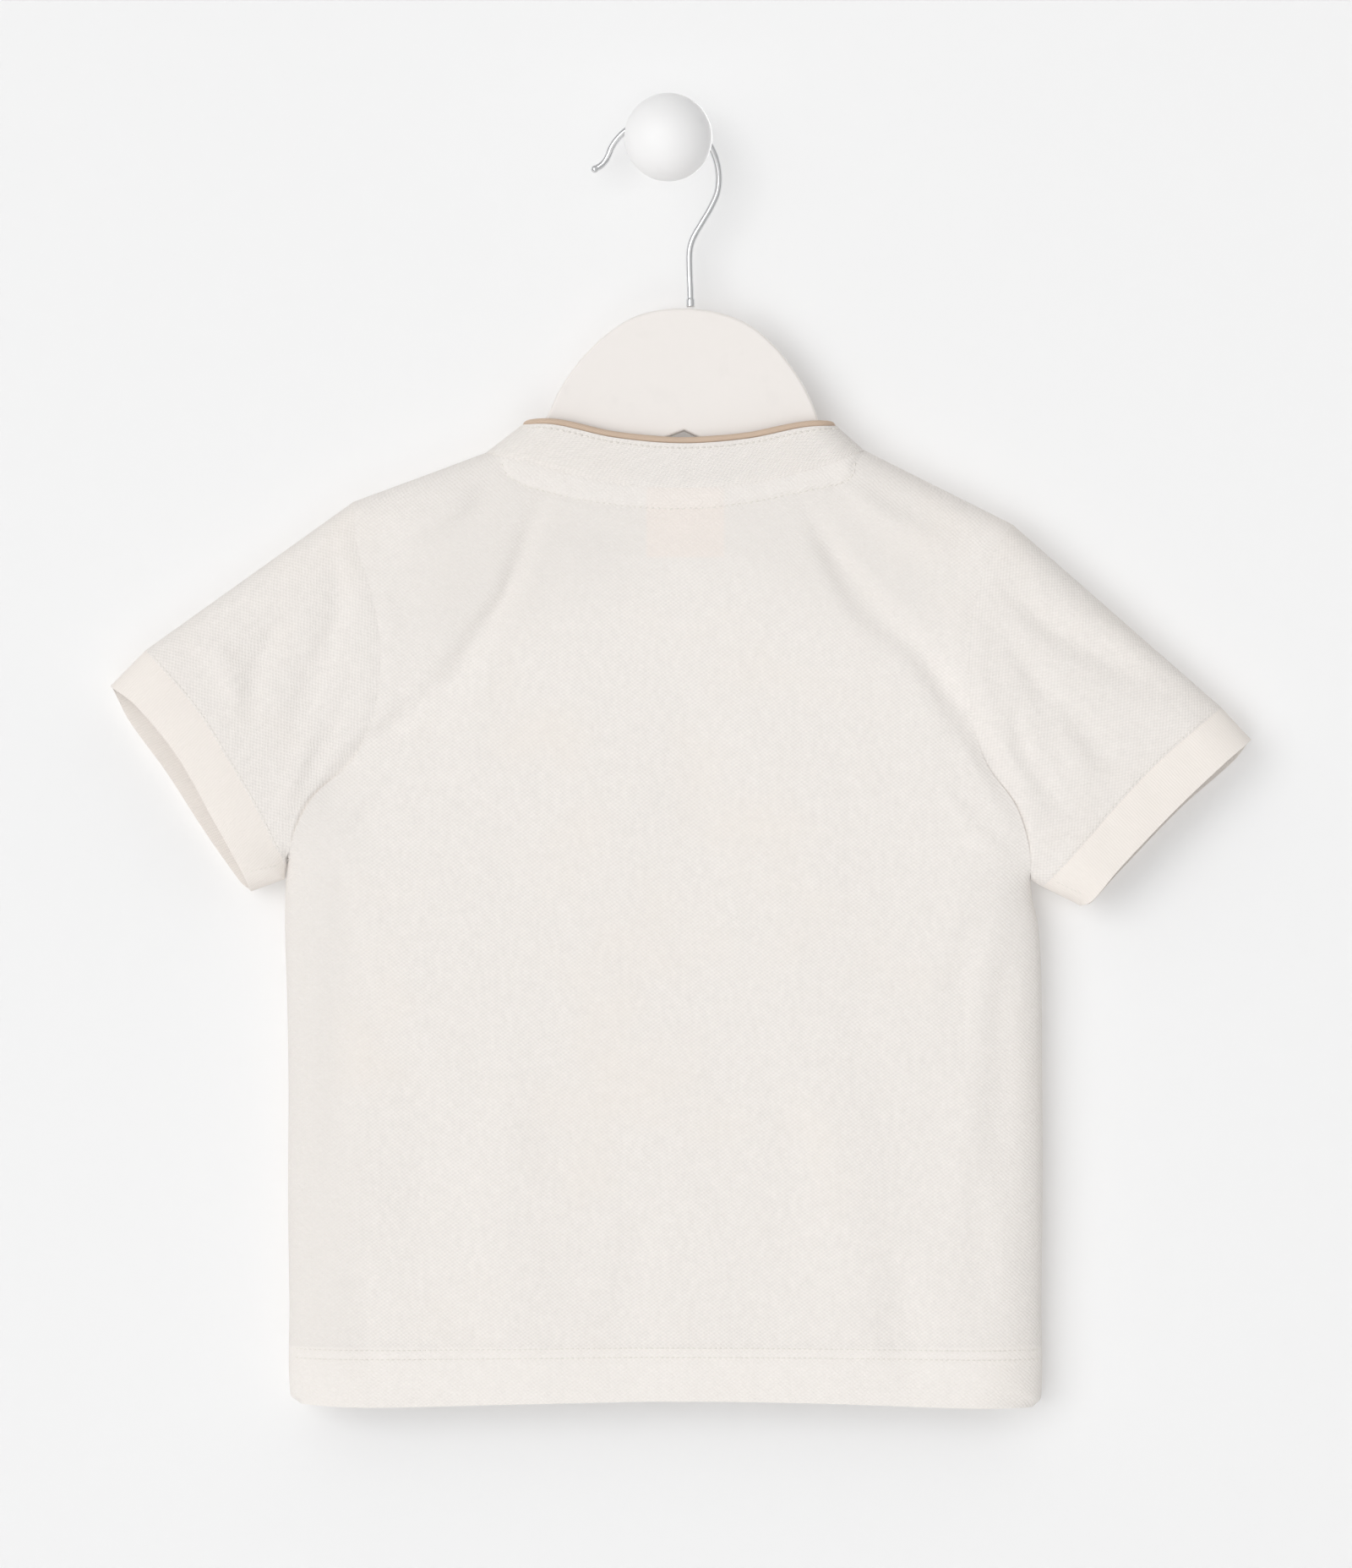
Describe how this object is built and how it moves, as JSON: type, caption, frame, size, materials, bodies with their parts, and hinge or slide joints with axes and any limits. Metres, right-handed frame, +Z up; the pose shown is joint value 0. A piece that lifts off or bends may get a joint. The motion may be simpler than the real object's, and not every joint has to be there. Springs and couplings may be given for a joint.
{
  "type": "henley t-shirt on a hanger",
  "caption": "Baby's short-sleeved henley t-shirt with a piped band collar and cuffs, hanging by a board hanger's hook from a round wall knob.",
  "frame": {"origin": "centre of the wall knob's flat back, on the wall", "axes": "+Z up; +Y into the wall, so the shirt's back faces -Y; +X to the right as the back is seen"},
  "size_m": [0.4232, 0.0542, 0.4844],
  "materials": {
    "pique": "cream cotton pique knit",
    "jersey": "cream fine-rib cotton",
    "label": "blank woven label",
    "piping": "beige cotton piping",
    "button": "cream, satin",
    "hanger_paint": "white satin paint",
    "hook_chrome": "polished",
    "knob_paint": "white matt paint"
  },
  "bodies": {
    "root": {"back_panel": "pique", "front_panel": "pique", "sleeve_left": "pique", "sleeve_right": "pique", "collar_stand": "pique", "placket_upper": "pique", "placket_under": "pique", "cuff_left": "jersey", "cuff_right": "jersey", "back_neck_tape": "jersey", "neck_label": "label", "collar_piping": "piping", "button_1": "button", "button_2": "button", "button_3": "button", "hanger_board": "hanger_paint", "hanger_hook": "hook_chrome", "wall_knob": "knob_paint"}
  },
  "joints": []
}
